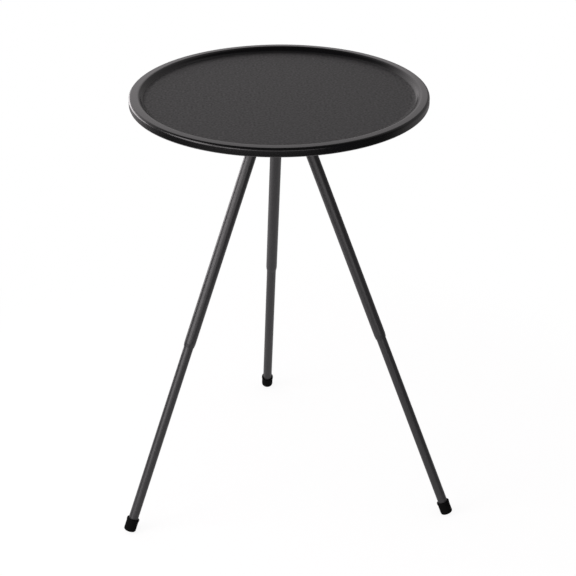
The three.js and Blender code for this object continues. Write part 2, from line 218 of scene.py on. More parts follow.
class LockSizes(bpy.types.PropertyGroup):
    rod_hole: length("Rod hole", "Radius of the holes that the lock rod passes", 3.3)
    rod_hole_depth: length("Rod hole depth", "Depth of the lock rod's hole in the tube plug", 13.3)
    plug_head: length("Plug head", "Height of the tube plug's head", 3)
    plug_shank: length("Plug shank", "Radius of the tube plug inside the tube", 5.7)
    cone_wide: length("Cone wide end", "Radius of the sleeve's cone at its mouth", 5.9)
    cone_narrow: length("Cone narrow end", "Radius of the sleeve's cone at its end", 3.5)
    cone_depth: length("Cone depth", "Depth of the sleeve's cone", 16)
    slot: length("Slot", "Width of the slots that split the sleeve", 1.2)
    slot_depth: length("Slot depth", "Depth of the slots that split the sleeve", 18)
    wedge_wide: length("Wedge wide end", "Radius of the wedge nut at its top", 6.05)
    wedge_narrow: length("Wedge narrow end", "Radius of the wedge nut at its bottom", 3.95)
    edge: length("Edge", "Rounding of the moulded edges", 0.3)
    facets: count("Facets", "Facets round the lock's pieces", 48)


class FootSizes(bpy.types.PropertyGroup):
    radius: length("Radius", "Radius of the foot below its lip", 8.55)
    lip_height: length("Lip height", "Height of the lip at the foot's mouth", 3)
    pocket_radius: length("Pocket radius", "Radius of the pocket for the tube", 7.1)
    pocket_depth: length("Pocket depth", "Depth of the pocket for the tube", 15.3)
    sole_edge: length("Sole edge", "Rounding of the sole's edge", 2.5)
    lip_edge: length("Lip edge", "Rounding of the lip", 0.45)
    facets: count("Facets", "Facets round a foot", 64)
    bend_facets: count("Bend facets", "Facets across each rounding", 5)


class FinishColours(bpy.types.PropertyGroup):
    tray_coat: colour("Tray coat", "Black powder coat of the tray", "#09090a")
    leg_coat: colour("Leg coat", "Grey-black powder coat of the legs", "#262627")
    rubber: colour("Rubber", "Black rubber of the feet", "#050505")
    nylon: colour("Nylon", "Black nylon of the hub and the locks", "#1b1b1c")
    acetal: colour("Acetal", "Undyed acetal of the washers and sleeves", "#dcd8cc")
    zinc: colour("Zinc", "Zinc plating of the steel fasteners", "#b9bcc0")
    aluminium: colour("Aluminium", "Turned aluminium of the top plugs", "#c9cbcd")
    brass: colour("Brass", "Turned brass of the threaded inserts", "#cfa95c")


class StageSettings(bpy.types.PropertyGroup):
    lens: bpy.props.FloatProperty(
        name="Lens", description="Focal length of the camera, in millimetres", default=105.5, min=1
    )
    sweep: colour("Sweep", "Pale floor and background", "#ffffff")
    light: colour("Light", "Faintly rosy white of the lamps and the studio", "#fffafc")
    surround: level("Surround", "Strength of the studio's own soft light", 0.75)
    dark: level("Dark", "Strength of the studio's dark side in a gloss", 0.02)
    sweep_gloss: level("Sweep gloss", "Strength of the lit sweep behind the table in a gloss", 1.0)
    key: level("Key", "Radiance of the lamp high at the left", 4.5)
    side: level("Side", "Radiance of the low lamp at the front left", 3)
    edge: level("Edge", "Radiance of the low lamp at the left, behind", 3.6)
    front: level("Front", "Radiance of the wide lamp at the front", 1.6)


GROUPS = {
    "tray": TraySizes,
    "hub": HubSizes,
    "fasteners": FastenerSizes,
    "tubes": TubeSizes,
    "plug": PlugSizes,
    "lock": LockSizes,
    "foot": FootSizes,
    "colours": FinishColours,
    "stage": StageSettings,
}


class TableSettings(bpy.types.PropertyGroup):
    __annotations__ = {
        name: bpy.props.PointerProperty(type=group) for name, group in GROUPS.items()
    }


# Places that the frame gives

def leg_place(side):
    """A leg's own frame: Z runs up its axis from the mouth of the hub's socket, X outwards."""
    joint = next(j for j in frame["joints"] if j["name"] == f"{side}_leg_turn")
    up = -Vector(joint["axis"]).normalized()
    outwards = -Vector((up.x, up.y, 0))
    across = up.cross(outwards).normalized()
    turned = Matrix((across.cross(up), across, up)).transposed()
    return Matrix.Translation(joint["pos_m"]) @ turned.to_4x4()


def table_axis():
    """The middle of the tray's floor, on the table's upright axis."""
    mount = next(m for m in frame["record"]["mounts"] if m["name"] == "table_top")
    return Vector(mount["pos_m"])


def reach(node, place):
    """Lowest and highest height, and largest radius, of a CAD node about a place's Z axis."""
    inverse = place.inverted()
    points = [inverse @ vertex.co for vertex in frame["nodes"][node].data.vertices]
    heights = [point.z for point in points]
    return min(heights), max(heights), max(math.hypot(point.x, point.y) for point in points)


def leg_reach(part):
    return reach(f"left_{part}", leg_place("left"))


def fixing_places(hub):
    """Upright places of the fixings, midway between the legs, level with the hub's top."""
    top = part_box("hub")[1].z
    axis = table_axis()
    for number in (1, 2, 3):
        low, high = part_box(f"weld_stud_{number}")
        centre = (low + high) / 2
        spoke = Vector((centre.x - axis.x, centre.y - axis.y, 0)).normalized()
        yield number, Matrix.Translation(Vector((axis.x, axis.y, top)) + spoke * hub.fixing_circle)


# Modelling steps

def select_only(*pieces):
    active = bpy.context.view_layer.objects.active
    if active and active.mode != "OBJECT":
        bpy.ops.object.mode_set(mode="OBJECT")
    bpy.ops.object.select_all(action="DESELECT")
    for piece in pieces:
        piece.select_set(True)
        bpy.context.view_layer.objects.active = piece


def begin(name, primitive, **settings):
    """Add the primitive that a piece starts from, with nothing else selected."""
    select_only()
    primitive(**settings)
    piece = bpy.context.object
    piece.name = piece.data.name = name
    bpy.ops.object.transform_apply(location=True, rotation=True, scale=True)
    return piece


@contextmanager
def editing(piece, mode="VERT"):
    select_only(piece)
    bpy.ops.object.mode_set(mode="EDIT")
    bpy.ops.mesh.select_mode(type=mode)
    yield
    bpy.ops.object.mode_set(mode="OBJECT")


def pick_edges(piece, wanted):
    """In edit mode, select the edges whose two ends both pass a test of their place."""
    mesh = bmesh.from_edit_mesh(piece.data)
    for edge in mesh.edges:
        edge.select_set(all(wanted(vertex.co) for vertex in edge.verts))
    bmesh.update_edit_mesh(piece.data)


def setback(before, corner, after, bend):
    """How far from a corner its rounding starts."""
    back = Vector(before[:2]) - Vector(corner[:2])
    ahead = Vector(after[:2]) - Vector(corner[:2])
    return bend / math.tan(back.angle(ahead) / 2)


def spin(name, outline, facets, closed=False, steps=4):
    """Draw an outline of (radius, height, bend) corners out from one vertex, spin it about Z,
    and round each ring that has a bend. A closed outline is a ring with a bore."""
    corners = [(*corner, 0)[:3] for corner in outline]
    here = Vector((corners[0][0], 0, corners[0][1]))
    piece = begin(name, bpy.ops.mesh.primitive_plane_add, size=MM, location=here)
    with editing(piece):
        bpy.ops.mesh.select_all(action="SELECT")
        bpy.ops.mesh.merge(type="CENTER")
        for radius, height, _ in corners[1:] + corners[:1] * closed:
            there = Vector((radius, 0, height))
            bpy.ops.mesh.extrude_region_move(TRANSFORM_OT_translate={"value": there - here})
            here = there
        bpy.ops.mesh.select_all(action="SELECT")
        bpy.ops.mesh.spin(steps=facets, angle=FULL_TURN, center=(0, 0, 0), axis=(0, 0, 1))
        bpy.ops.mesh.select_all(action="SELECT")
        bpy.ops.mesh.remove_doubles(threshold=TOUCH)
        bpy.ops.mesh.normals_make_consistent(inside=False)
    with editing(piece, "EDGE"):
        for i, (radius, height, bend) in enumerate(corners):
            if bend:
                after = corners[(i + 1) % len(corners)]
                width = setback(corners[i - 1], corners[i], after, bend)
                pick_edges(piece, on_ring(radius, height))
                bpy.ops.mesh.bevel(offset=width, segments=steps, affect="EDGES")
    return piece


def on_ring(radius, height):
    def wanted(place):
        away = math.hypot(place.x, place.y) - radius
        return abs(away) < TOUCH and abs(place.z - height) < TOUCH
    return wanted


def arc(centre, radius, start, turn, steps):
    """Places on an arc, as (radius, height), from one angle through a turn."""
    angles = [start + turn * i / steps for i in range(steps + 1)]
    return [(centre[0] + radius * math.cos(a), centre[1] + radius * math.sin(a)) for a in angles]


def apply_modifier(piece, kind, **settings):
    select_only(piece)
    modifier = piece.modifiers.new(kind.title(), kind)
    for setting, value in settings.items():
        setattr(modifier, setting, value)
    bpy.ops.object.modifier_apply(modifier=modifier.name)


def combine(piece, tool, operation):
    """Join a tool to a piece, cut it out or keep what they share, and take the tool away."""
    apply_modifier(piece, "BOOLEAN", operation=operation, object=tool, solver="EXACT")
    bpy.data.objects.remove(tool)


def clean(piece):
    """Close the slivers that cuts through nearly equal faces leave."""
    with editing(piece):
        bpy.ops.mesh.select_all(action="SELECT")
        bpy.ops.mesh.remove_doubles(threshold=10 * TOUCH)
        bpy.ops.mesh.dissolve_degenerate(threshold=TOUCH)
        bpy.ops.mesh.select_all(action="SELECT")
        bpy.ops.mesh.normals_make_consistent(inside=False)


def thread(name, radius, pitch, bottom, top, facets):
    """A plain screw thread that runs a turn past both heights and is cut off square at them."""
    root = radius - THREAD_DEPTH * pitch
    here = Vector((root, 0, bottom - pitch))
    piece = begin(name, bpy.ops.mesh.primitive_plane_add, size=MM / 10, location=here)
    profile = [
        (radius, THREAD_FLANK),
        (radius, THREAD_FLANK + THREAD_CREST),
        (root, 2 * THREAD_FLANK + THREAD_CREST),
        (root, 1),
    ]
    with editing(piece):
        bpy.ops.mesh.select_all(action="SELECT")
        bpy.ops.mesh.merge(type="CENTER")
        for place, share in profile:
            there = Vector((place, 0, bottom - pitch + share * pitch))
            bpy.ops.mesh.extrude_region_move(TRANSFORM_OT_translate={"value": there - here})
            here = there
    turns = math.ceil((top - bottom) / pitch) + 2
    apply_modifier(
        piece, "SCREW", screw_offset=pitch, iterations=turns, steps=facets, render_steps=facets,
        use_merge_vertices=True, merge_threshold=TOUCH, use_smooth_shade=False,
    )
    with editing(piece):
        for height, upwards in ((bottom, False), (top, True)):
            bpy.ops.mesh.select_all(action="SELECT")
            bpy.ops.mesh.bisect(
                plane_co=(0, 0, height), plane_no=(0, 0, 1), use_fill=True,
                clear_inner=not upwards, clear_outer=upwards, threshold=TOUCH / 2,
            )
        bpy.ops.mesh.select_all(action="SELECT")
        bpy.ops.mesh.remove_doubles(threshold=TOUCH)
        bpy.ops.mesh.normals_make_consistent(inside=False)
    return piece


def threaded_bar(name, radius, pitch, bottom, top, edge, facets):
    """A threaded bar whose ends are chamfered down to the thread's root."""
    piece = thread(name, radius, pitch, bottom, top, facets)
    tip = radius - edge - THREAD_DEPTH * pitch / 2
    outline = [
        (0, bottom), (tip, bottom), (radius + edge, bottom + radius + edge - tip),
        (radius + edge, top - radius - edge + tip), (tip, top), (0, top),
    ]
    combine(piece, spin("tool", outline, facets), "INTERSECT")
    return piece


# Handing pieces over to the frame

def keep_own_place(piece):
    """Keep each vertex's place in the upright piece, for patterns that follow the piece."""
    places = piece.data.attributes.new(OWN_PLACE, "FLOAT_VECTOR", "POINT")
    for vertex in piece.data.vertices:
        places.data[vertex.index].vector = vertex.co


def hand_over(piece, name, place, body, node, material):
    """Give a copy of a finished piece its place, finish, body and slot, and hide the CAD node it stands for."""
    copy = piece.copy()
    copy.data = piece.data.copy()
    copy.name = copy.data.name = name
    bpy.context.scene.collection.objects.link(copy)
    keep_own_place(copy)
    copy.data.transform(place)
    copy.data.materials.clear()
    copy.data.materials.append(material)
    select_only(copy)
    bpy.ops.object.shade_smooth_by_angle(angle=SMOOTH_BELOW)
    # Broad faces keep their own normals, so a bend shades only where the bend is.
    apply_modifier(copy, "WEIGHTED_NORMAL", mode="FACE_AREA", weight=100, keep_sharp=True)
    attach(copy, body)
    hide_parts(node)
    return copy


def hand_over_legs(piece, part, made, body, material):
    """One copy of a piece on each leg. A body's name may take the side's name."""
    for side in SIDES:
        hand_over(
            piece, f"{side}_{part}_{made}", leg_place(side), body.format(side=side),
            f"{side}_{part}", material,
        )
    bpy.data.objects.remove(piece)


# Finishes

def add(tree, kind, inputs=None, **settings):
    """Add a node, with its settings and its inputs. An input is a value, or an output to link."""
    node = tree.nodes.new(kind)
    for setting, value in settings.items():
        setattr(node, setting, value)
    for socket, value in (inputs or {}).items():
        if isinstance(value, bpy.types.NodeSocket):
            tree.links.new(value, node.inputs[socket])
        else:
            node.inputs[socket].default_value = value
    return node


def per_metre(millimetres):
    """The scale of a pattern whose features are this far apart."""
    return 1 / (millimetres * MM)


def bands_per_metre(millimetres):
    """The scale of a wave pattern whose bands are this far apart. One unit holds 10 / pi bands."""
    return per_metre(millimetres) * math.pi / 10


def shaded(base, share):
    """A colour made lighter or darker by a share."""
    return (*[min(1, channel * share) for channel in base], 1)


def begin_finish(name):
    """A new material, its tree, and the place that its patterns follow."""
    material = bpy.data.materials.new(name)
    material.use_nodes = True
    tree = material.node_tree
    tree.nodes.clear()
    place = add(tree, "ShaderNodeAttribute", attribute_name=OWN_PLACE).outputs["Vector"]
    return material, tree, place


def end_finish(tree, colour_output, roughness, bump, **shader):
    """Close a material with its shader. Constants are set on the shader's own sockets."""
    inputs = {"Base Color": colour_output, "Roughness": roughness, "Normal": bump}
    inputs.update({name.replace("_", " "): value for name, value in shader.items()})
    surface = add(tree, "ShaderNodeBsdfPrincipled", inputs)
    add(tree, "ShaderNodeOutputMaterial", {"Surface": surface.outputs["BSDF"]})


def end_mottled_finish(tree, base, tone, roughness, relief, **shader):
    """Close a material whose tone, roughness and relief each follow a pattern. With the pattern
    stand the two shares of the base colour or the two roughnesses that it runs between, or the
    strength and depth of the relief."""
    pattern, first_share, last_share = tone
    tint = add(tree, "ShaderNodeMix", {
        0: pattern, 6: shaded(base, first_share), 7: shaded(base, last_share),
    }, data_type="RGBA")
    pattern, first, last = roughness
    dullness = add(tree, "ShaderNodeMapRange", {
        "Value": pattern, "To Min": first, "To Max": last,
    })
    pattern, strength, depth = relief
    bump = add(tree, "ShaderNodeBump", {
        "Height": pattern, "Strength": strength, "Distance": depth,
    })
    end_finish(
        tree, tint.outputs[2], dullness.outputs["Result"], bump.outputs["Normal"], **shader
    )


def fine_texture_powder_coat(base, floor_radius, bend_radius):
    """Polyester powder, sprayed dry and baked on the stamped tray. It melts into a satin skin with
    a fine grain. The floor keeps that grain, so it looks softer and darker. The pressed wall and
    rim are smoother, so they catch a clearer sheen, and the rim's outer bend and the skirt a
    slightly duller one."""
    material, tree, place = begin_finish("fine_texture_powder_coat")
    # The real grain is 0.3 mm across. It is drawn 0.9 mm across so that it shows at all.
    grain = add(tree, "ShaderNodeTexNoise", {"Vector": place, "Scale": per_metre(0.9), "Detail": 3})
    # Slow waves in the film's thickness, about 6 mm apart, as orange peel.
    peel = add(tree, "ShaderNodeTexNoise", {"Vector": place, "Scale": per_metre(6), "Detail": 2})
    # Uneven melting of the powder, which mottles the sheen every 3 mm.
    mottle = add(tree, "ShaderNodeTexNoise", {"Vector": place, "Scale": per_metre(3), "Detail": 2})
    # Faint cloudiness over the sheet, some 60 mm across, from handling.
    cloud = add(tree, "ShaderNodeTexNoise", {"Vector": place, "Scale": per_metre(60), "Detail": 4})
    axes = add(tree, "ShaderNodeSeparateXYZ", {"Vector": place})
    flat = add(tree, "ShaderNodeCombineXYZ", {"X": axes.outputs["X"], "Y": axes.outputs["Y"]})
    radius = add(tree, "ShaderNodeVectorMath", {0: flat.outputs["Vector"]}, operation="LENGTH")
    pressed = add(tree, "ShaderNodeMapRange", {
        "Value": radius.outputs["Value"],
        "From Min": floor_radius, "From Max": floor_radius + 1.5 * MM, "To Min": 0, "To Max": 1,
    })
    tint = add(tree, "ShaderNodeMix", {
        0: cloud.outputs["Fac"], 6: shaded(base, 0.9), 7: shaded(base, 1.1),
    }, data_type="RGBA")
    grain_roughness = add(tree, "ShaderNodeMapRange", {
        "Value": mottle.outputs["Fac"], "From Min": 0.3, "From Max": 0.7,
        "To Min": 0.42, "To Max": 0.6,
    })
    # The bend at the rim's edge stretches the sheet, which leaves its coat a little duller.
    pressed_roughness = add(tree, "ShaderNodeMapRange", {
        "Value": radius.outputs["Value"], "From Min": bend_radius, "From Max": bend_radius + 2 * MM,
        "To Min": 0.2, "To Max": 0.26,
    })
    roughness = add(tree, "ShaderNodeMix", {
        0: pressed.outputs["Result"], 2: grain_roughness.outputs["Result"],
        3: pressed_roughness.outputs["Result"],
    }, data_type="FLOAT")
    depth = add(tree, "ShaderNodeMix", {
        0: pressed.outputs["Result"], 2: 1.0, 3: 0.25,
    }, data_type="FLOAT")
    peel_bump = add(tree, "ShaderNodeBump", {
        "Height": peel.outputs["Fac"], "Strength": 0.5, "Distance": 0.02 * MM,
    })
    bump = add(tree, "ShaderNodeBump", {
        "Height": grain.outputs["Fac"], "Strength": depth.outputs[0], "Distance": 0.05 * MM,
        "Normal": peel_bump.outputs["Normal"],
    })
    end_finish(tree, tint.outputs[2], roughness.outputs[0], bump.outputs["Normal"], IOR=1.5)
    return material


def satin_powder_coat(base):
    """Polyester powder on drawn tube, with flow agents, so it melts smooth: an even satin black
    with only a slight orange peel and faint die lines along the tube."""
    material, tree, place = begin_finish("satin_powder_coat")
    # Orange peel, about 3 mm from crest to crest.
    peel = add(tree, "ShaderNodeTexNoise", {"Vector": place, "Scale": per_metre(3), "Detail": 2})
    # Die lines 0.6 mm apart round the tube, stretched 60 times along it.
    stretch = add(tree, "ShaderNodeMapping", {"Vector": place, "Scale": (1, 1, 1 / 60)})
    lines = add(tree, "ShaderNodeTexNoise", {
        "Vector": stretch.outputs["Vector"], "Scale": per_metre(0.6), "Detail": 2,
    })
    # Speckle of the baked powder, drawn 0.7 mm across so that it shows.
    speckle = add(tree, "ShaderNodeTexNoise", {"Vector": place, "Scale": per_metre(0.7)})
    tint = add(tree, "ShaderNodeMix", {
        0: peel.outputs["Fac"], 6: shaded(base, 0.92), 7: shaded(base, 1.08),
    }, data_type="RGBA")
    roughness = add(tree, "ShaderNodeMapRange", {
        "Value": speckle.outputs["Fac"], "From Min": 0.3, "From Max": 0.7,
        "To Min": 0.27, "To Max": 0.35,
    })
    line_bump = add(tree, "ShaderNodeBump", {
        "Height": lines.outputs["Fac"], "Strength": 0.4, "Distance": 0.01 * MM,
    })
    bump = add(tree, "ShaderNodeBump", {
        "Height": peel.outputs["Fac"], "Strength": 0.6, "Distance": 0.03 * MM,
        "Normal": line_bump.outputs["Normal"],
    })
    end_finish(tree, tint.outputs[2], roughness.outputs["Result"], bump.outputs["Normal"], IOR=1.5)
    return material


def moulded_rubber(base):
    """EPDM rubber, moulded in a spark-eroded mould: dull, with a fine pitted grain and patches of
    faint grey bloom."""
    material, tree, place = begin_finish("moulded_rubber")
    # Pits of the eroded mould, 0.4 mm across.
    pits = add(tree, "ShaderNodeTexNoise", {"Vector": place, "Scale": per_metre(0.4), "Detail": 3})
    # Bloom on the rubber, in patches of 5 mm.
    bloom = add(tree, "ShaderNodeTexNoise", {"Vector": place, "Scale": per_metre(5), "Detail": 3})
    patch = add(tree, "ShaderNodeMapRange", {
        "Value": bloom.outputs["Fac"], "From Min": 0.35, "From Max": 0.75, "To Max": 1,
    })
    # The pits swallow light, so the rubber mirrors less than its smooth skin would.
    end_mottled_finish(
        tree, base, tone=(patch.outputs["Result"], 1, 1.6),
        roughness=(bloom.outputs["Fac"], 0.6, 0.75), relief=(pits.outputs["Fac"], 0.7, 0.05 * MM),
        IOR=1.52, Specular_IOR_Level=0.05,
    )
    return material


def moulded_nylon(base):
    """Glass-filled black nylon, injection moulded: semi-matt, with pale flow streaks of fibre and
    the even grain of an eroded mould."""
    material, tree, place = begin_finish("moulded_nylon")
    # Grain of the mould, 0.5 mm across.
    grain = add(tree, "ShaderNodeTexNoise", {"Vector": place, "Scale": per_metre(0.5), "Detail": 2})
    # Flow streaks, 9 mm across and bent by the flow.
    streak = add(tree, "ShaderNodeTexNoise", {
        "Vector": place, "Scale": per_metre(9), "Detail": 5, "Distortion": 2.5,
    })
    end_mottled_finish(
        tree, base, tone=(streak.outputs["Fac"], 0.8, 1.35),
        roughness=(streak.outputs["Fac"], 0.45, 0.65),
        relief=(grain.outputs["Fac"], 0.6, 0.03 * MM), IOR=1.53,
    )
    return material


def moulded_acetal(base):
    """Undyed acetal, injection moulded: a waxy, slightly cloudy off-white with faint polishing
    marks of the mould."""
    material, tree, place = begin_finish("moulded_acetal")
    # Polishing marks, 0.8 mm apart.
    marks = add(tree, "ShaderNodeTexNoise", {
        "Vector": place, "Scale": per_metre(0.8), "Detail": 2, "Distortion": 1,
    })
    # Milky clouds in the resin, 4 mm across.
    milk = add(tree, "ShaderNodeTexNoise", {"Vector": place, "Scale": per_metre(4), "Detail": 2})
    end_mottled_finish(
        tree, base, tone=(milk.outputs["Fac"], 0.93, 1.04),
        roughness=(marks.outputs["Fac"], 0.32, 0.48),
        relief=(marks.outputs["Fac"], 0.3, 0.01 * MM), IOR=1.48,
    )
    return material


def zinc_plated_steel(base):
    """Cold-headed steel with bright zinc plating: a cool grey metal with a fine grain and small
    cloudy patches, where the plating is thicker."""
    material, tree, place = begin_finish("zinc_plated_steel")
    # Patches of the plating, 1.5 mm across.
    patches = add(tree, "ShaderNodeTexVoronoi", {"Vector": place, "Scale": per_metre(1.5)})
    # Grain of the headed surface, 0.2 mm across.
    grain = add(tree, "ShaderNodeTexNoise", {"Vector": place, "Scale": per_metre(0.2), "Detail": 2})
    end_mottled_finish(
        tree, base, tone=(patches.outputs["Distance"], 1, 0.84),
        roughness=(patches.outputs["Distance"], 0.28, 0.44),
        relief=(grain.outputs["Fac"], 0.4, 0.008 * MM), Metallic=1,
    )
    return material


def turned_metal(name, base, feed_mm, smooth, dull):
    """Metal turned on a lathe. The tool's feed leaves fine rings along the piece, which spread the
    reflections across them."""
    material, tree, place = begin_finish(name)
    # The rings are drawn 2.5 times as far apart as the feed, so that they show.
    rings = add(tree, "ShaderNodeTexWave", {
        "Vector": place, "Scale": bands_per_metre(2.5 * feed_mm), "Distortion": 0.4,
    }, wave_type="BANDS", bands_direction="Z")
    # Thin oxide in patches of 3 mm.
    oxide = add(tree, "ShaderNodeTexNoise", {"Vector": place, "Scale": per_metre(3), "Detail": 3})
    end_mottled_finish(
        tree, base, tone=(oxide.outputs["Fac"], 0.86, 1.05),
        roughness=(oxide.outputs["Fac"], smooth, dull),
        relief=(rings.outputs["Fac"], 0.5, 0.01 * MM), Metallic=1,
    )
    return material


def turned_aluminium(base):
    """Free-cutting aluminium, turned: pale grey and bright, with rings 0.25 mm apart."""
    return turned_metal("turned_aluminium", base, 0.25, 0.24, 0.36)


def turned_brass(base):
    """Free-cutting brass, turned: warm yellow, with rings 0.2 mm apart and slight tarnish."""
    return turned_metal("turned_brass", base, 0.2, 0.26, 0.42)


def finish(make, *values):
    """A finish by the name of the function that makes it, made at its first use."""
    return bpy.data.materials.get(make.__name__) or make(*values)


# Operators

class MakeTray(bpy.types.Operator):
    """Spin the tray's outline, round its bends and give the sheet its thickness"""
    bl_idname = "side_table.make_tray"
    bl_label = "Tray"

    def execute(self, context):
        size = context.scene.side_table.tray
        low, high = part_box("tray")
        rim_radius = (high.x - low.x) / 2 - TOUCH
        skirt = rim_radius - size.sheet / 2
        rim_inner = rim_radius - size.rim_width
        floor = -size.sheet / 2
        rim = floor + size.depth
        edge = rim - size.rim_fall
        curl_height = size.depth - size.rim_fall - size.skirt + size.sheet / 2 + size.curl
        outline = [
            (0, floor),
            (rim_inner - size.wall_run, floor, size.foot_bend),
            (rim_inner, rim, size.top_bend),
            (skirt, edge, size.rim_bend),
            *arc((skirt - size.curl, curl_height), size.curl, 0, -size.curl_turn, size.curl_facets),
        ]
        piece = spin("tray", outline, size.facets, steps=size.bend_facets)
        apply_modifier(piece, "SOLIDIFY", thickness=size.sheet, offset=0, use_even_offset=True)
        coat = fine_texture_powder_coat(
            context.scene.side_table.colours.tray_coat, rim_inner - size.wall_run,
            rim_radius - size.rim_bend,
        )
        hand_over(
            piece, "tray_stamped", Matrix.Translation(table_axis()), "table", "tray", coat,
        )
        bpy.data.objects.remove(piece)
        return {"FINISHED"}


class MakeHub(bpy.types.Operator):
    """Build the hub from its spun body and three slanted bosses, and cut its sockets and holes"""
    bl_idname = "side_table.make_hub"
    bl_label = "Hub"

    rib_count = 6
    # A rib's shape, as shares of the core: where it starts in the core's radius, and in the core's
    # depth how far it stands out, how far it reaches down and how far its outer end slopes up.
    rib_start, rib_overhang, rib_drop, rib_slope = 0.8, 0.7, 0.8, 0.75

    def execute(self, context):
        settings = context.scene.side_table
        size = settings.hub
        low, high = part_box("hub")
        axis = table_axis()
        place = Matrix.Translation((axis.x, axis.y, high.z))
        upright = place.inverted()
        core_bottom = -size.flange - size.core_depth
        body = spin("hub", [
            (0, core_bottom),
            (size.core_radius - size.core_taper, core_bottom, size.edge),
            (size.core_radius, -size.flange, 1.5 * size.edge),
            ((high.x - low.x) / 2, -size.flange, size.edge),
            ((high.x - low.x) / 2, 0, size.edge / 3),
            (0, 0),
        ], size.facets)
        for side in SIDES:
            boss = spin("boss", [
                (0, 0), (size.boss_radius, 0, size.edge), (size.boss_radius, size.boss_length),
                (0, size.boss_length),
            ], size.facets // 2)
            boss.data.transform(upright @ leg_place(side))
            combine(body, boss, "UNION")
        for number in range(self.rib_count):
            combine(body, self.rib(size, number * FULL_TURN / self.rib_count), "UNION")
        _, insert_high, insert_radius = leg_reach("socket_insert")
        for side in SIDES:
            socket = spin("socket", [
                (0, -size.edge), (insert_radius + size.socket_gap, -size.edge),
                (insert_radius + size.socket_gap, insert_high + size.socket_gap),
                (0, insert_high + size.socket_gap),
            ], size.facets // 2)
            socket.data.transform(upright @ leg_place(side))
            combine(body, socket, "DIFFERENCE")
        fixings = [fixing for _, fixing in fixing_places(size)]
        _, _, base_radius = reach("weld_stud_1", fixings[0])
        gap = size.socket_gap
        base_bottom = -settings.fasteners.weld_base - gap
        for fixing in fixings:
            hole = spin("hole", [
                (0, -size.flange - gap), (FIXING_SHANK + gap, -size.flange - gap),
                (FIXING_SHANK + gap, base_bottom), (base_radius + gap, base_bottom),
                (base_radius + gap, gap), (0, gap),
            ], size.facets // 2)
            hole.data.transform(upright @ fixing)
            combine(body, hole, "DIFFERENCE")
        clean(body)
        nylon = finish(moulded_nylon, settings.colours.nylon)
        hand_over(body, "hub_moulded", place, "table", "hub", nylon)
        bpy.data.objects.remove(body)
        return {"FINISHED"}

    def rib(self, size, turn):
        """A gusset between the core and the flange, cut to a slope by moving its outer edge."""
        inner = self.rib_start * size.core_radius
        outer = size.core_radius + self.rib_overhang * size.core_depth
        top, bottom = -size.flange / 2, -size.flange - self.rib_drop * size.core_depth
        rib = begin(
            "rib", bpy.ops.mesh.primitive_cube_add, size=1,
            scale=(outer - inner, size.rib, top - bottom),
            location=((inner + outer) / 2, 0, (top + bottom) / 2),
        )
        with editing(rib, "EDGE"):
            pick_edges(rib, lambda place: place.x > inner + MM and place.z < bottom + MM)
            bpy.ops.transform.translate(value=(0, 0, self.rib_slope * size.core_depth))
            bpy.ops.mesh.select_all(action="SELECT")
            bpy.ops.transform.rotate(value=turn, orient_axis="Z", center_override=(0, 0, 0))
        return rib


class MakeFixings(bpy.types.Operator):
    """Thread the three weld studs and shape the flange nuts that hold the hub to the tray"""
    bl_idname = "side_table.make_fixings"
    bl_label = "Weld Studs and Nuts"

    def execute(self, context):
        settings = context.scene.side_table
        size = settings.fasteners
        places = dict(fixing_places(settings.hub))
        zinc = finish(zinc_plated_steel, settings.colours.zinc)
        low, _, base_radius = reach("weld_stud_1", places[1])
        stud = threaded_bar(
            "weld_stud", FIXING_SHANK, size.fixing_pitch, low, -size.weld_base, size.edge,
            size.facets,
        )
        fillet_end = -1.6 * size.weld_base
        base = spin("base", [
            (0, fillet_end), (FIXING_SHANK, fillet_end),
            (FIXING_SHANK + FIXING_FILLET, -size.weld_base),
            (base_radius, -size.weld_base, FIXING_EDGE), (base_radius, 0), (0, 0),
        ], size.facets)
        combine(stud, base, "UNION")
        nut_low, nut_high, flange_radius = reach("flange_nut_1", places[1])
        flats, corners = size.hexagon / 2, size.hexagon / math.sqrt(3)
        nut = begin(
            "flange_nut", bpy.ops.mesh.primitive_cylinder_add, vertices=6,
            radius=corners, depth=nut_high - nut_low, location=(0, 0, (nut_low + nut_high) / 2),
        )
        inside_flats, past_corners = 0.97 * flats, 1.01 * corners
        chamfer = spin("chamfer", [
            (0, nut_low), (inside_flats, nut_low), (past_corners, nut_low + NUT_CHAMFER),
            (past_corners, nut_high), (0, nut_high),
        ], size.facets)
        combine(nut, chamfer, "INTERSECT")
        slope_end = nut_high - 2 * size.nut_flange
        flange = spin("flange", [
            (0, slope_end), (flats, slope_end),
            (flange_radius, nut_high - size.nut_flange / 2, FIXING_EDGE), (flange_radius, nut_high),
            (0, nut_high),
        ], size.facets)
        combine(nut, flange, "UNION")
        bore = thread(
            "bore", FIXING_SHANK + size.thread_gap, size.fixing_pitch,
            low - size.fixing_pitch, nut_high + size.fixing_pitch, size.facets,
        )
        combine(nut, bore, "DIFFERENCE")
        for number, place in places.items():
            hand_over(
                stud, f"weld_stud_{number}_threaded", place, "table", f"weld_stud_{number}",
                zinc,
            )
            hand_over(
                nut, f"flange_nut_{number}_threaded", place, "table", f"flange_nut_{number}",
                zinc,
            )
        for piece in (stud, nut):
            bpy.data.objects.remove(piece)
        return {"FINISHED"}


